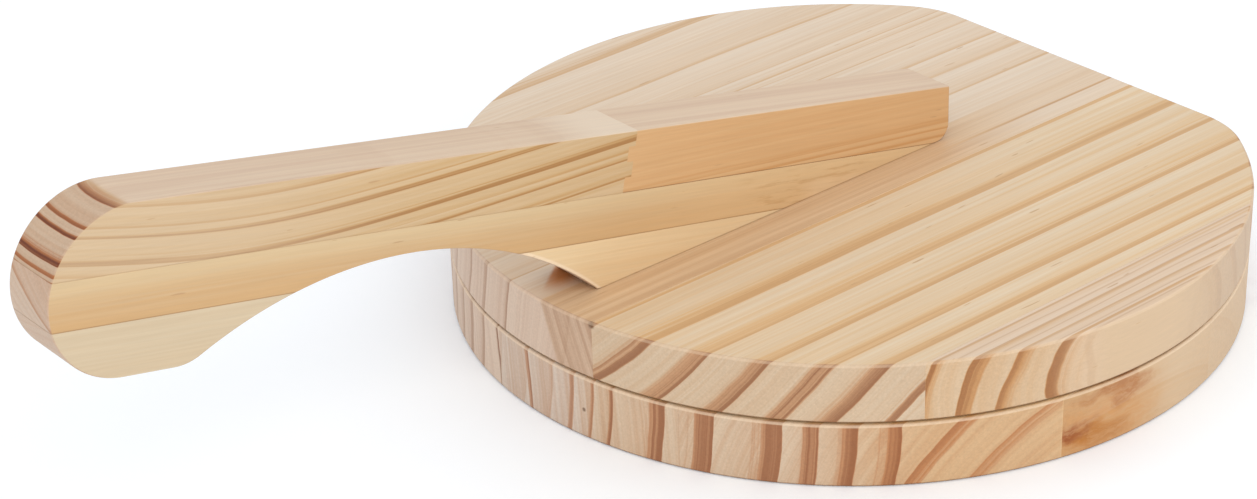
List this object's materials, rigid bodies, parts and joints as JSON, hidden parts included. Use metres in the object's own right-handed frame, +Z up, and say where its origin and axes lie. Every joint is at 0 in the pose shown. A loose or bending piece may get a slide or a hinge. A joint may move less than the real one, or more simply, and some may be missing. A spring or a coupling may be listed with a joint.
{
  "type": "wooden tortilla press",
  "caption": "Hand press of pale pine: two thick round boards hinged at a flat back edge, with a long bat-shaped lever fixed along the upper board and reaching past its front.",
  "frame": {"origin": "centre of the round base board on its underside", "axes": "+Z up; +Y towards the hinges at the flat back edge; the lever points along -Y; +X to the right seen from the lever's end"},
  "size_m": [0.24, 0.38, 0.1161],
  "materials": {
    "base_pine": "bare planed pine, end grain on the rim",
    "lid_pine": "bare planed pine, end grain on the rim",
    "handle_pine": "bare sanded pine with brown growth rings",
    "orange_pine": "bare sanded pine, darker orange block",
    "hinge_steel": "zinc-plated sheet steel",
    "screw_steel": "zinc-plated wood screws"
  },
  "bodies": {
    "base": {"base_stave_1": "base_pine", "base_stave_2": "base_pine", "base_stave_3": "base_pine", "base_stave_4": "base_pine", "base_stave_5": "base_pine", "hinge_left_base_leaf": "hinge_steel", "hinge_left_pin": "hinge_steel", "hinge_right_base_leaf": "hinge_steel", "hinge_right_pin": "hinge_steel", "base_hinge_screws": "screw_steel"},
    "lid": {"lid_stave_1": "lid_pine", "lid_stave_2": "lid_pine", "lid_stave_3": "lid_pine", "lid_stave_4": "lid_pine", "handle_top_front": "handle_pine", "handle_top_rear": "orange_pine", "handle_middle": "handle_pine", "handle_heel": "handle_pine", "handle_belly": "handle_pine", "hinge_left_lid_leaf": "hinge_steel", "hinge_right_lid_leaf": "hinge_steel", "lid_hinge_screws": "screw_steel", "handle_screws": "screw_steel"}
  },
  "joints": [
    {"name": "lid_hinge", "type": "hinge", "parent": "base", "child": "lid", "pos_m": [0, 0.1055, 0.0198], "axis": [-1, 0, 0], "range_deg": [0, 167]}
  ]
}
